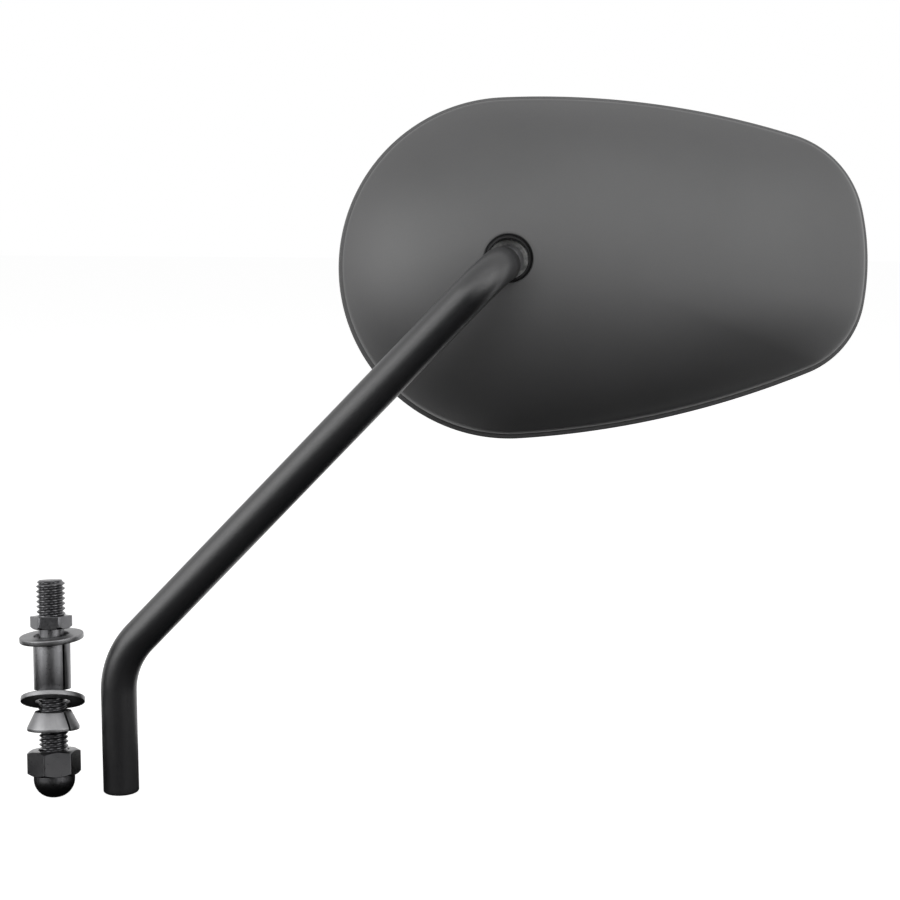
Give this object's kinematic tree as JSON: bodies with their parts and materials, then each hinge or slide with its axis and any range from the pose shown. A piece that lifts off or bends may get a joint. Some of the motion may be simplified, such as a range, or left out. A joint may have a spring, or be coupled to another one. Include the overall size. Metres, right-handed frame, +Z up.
{
  "type": "motorcycle mirror",
  "caption": "Motorcycle mirror: a teardrop head with convex glass that spins and tips on a ball joint, on a bent round stem, with its loose clamping stud, nut and washers.",
  "frame": {"origin": "centre of the flat lower end of the stem, at the mouth of its threaded hole", "axes": "+Z up the stem's lower leg; the stem's bend lies in the XZ plane and leans to +X; +Y runs from the stem through the ball joint to the glass"},
  "size_m": [0.2348, 0.0791, 0.195],
  "materials": {
    "stem_black": "satin black powder coat",
    "ball_steel": "turned steel with a grained surface",
    "dark_nickel": "black nickel plate, polished",
    "washer_nickel": "dark nickel plate, satin",
    "liner_plastic": "moulded acetal, pale, with a film of grease",
    "housing_plastic": "moulded plastic with a fine grain",
    "cup_plastic": "moulded nylon",
    "carrier_plastic": "moulded plastic",
    "black_rubber": "matt rubber",
    "foam_grey": "closed-cell foam tape",
    "zinc_steel": "zinc-plated steel",
    "spring_steel": "blued spring steel",
    "mirror_face": "silvered convex glass"
  },
  "bodies": {
    "root": {"stem": "stem_black", "ball": "ball_steel", "mount_stud": "dark_nickel", "upper_washer": "washer_nickel", "split_sleeve": "dark_nickel", "lower_washer": "washer_nickel", "taper_washer": "washer_nickel", "acorn_nut": "dark_nickel"},
    "swivel": {"seat_ring": "liner_plastic"},
    "turn": {"rear_liner": "liner_plastic"},
    "head": {"housing": "housing_plastic", "dust_ring": "black_rubber", "pressure_cup": "cup_plastic", "spring_washer": "spring_steel", "clamp_plate": "zinc_steel", "clamp_screws": "zinc_steel", "glass_carrier": "carrier_plastic", "foam_pad": "foam_grey", "mirror_glass": "mirror_face", "rim_gasket": "black_rubber"}
  },
  "joints": [
    {"name": "head_spin", "type": "hinge", "parent": "root", "child": "swivel", "pos_m": [0.10616, 0.03, 0.14852], "axis": [0, 1, 0], "continuous": true},
    {"name": "head_turn", "type": "hinge", "parent": "swivel", "child": "turn", "pos_m": [0.10616, 0.03, 0.14852], "axis": [0, 0, 1], "range_deg": [-15.8, 0.2]},
    {"name": "head_tilt", "type": "hinge", "parent": "turn", "child": "head", "pos_m": [0.10616, 0.03, 0.14852], "axis": [0.9907, 0.1357, 0], "range_deg": [-0.3, 16.7]}
  ]
}
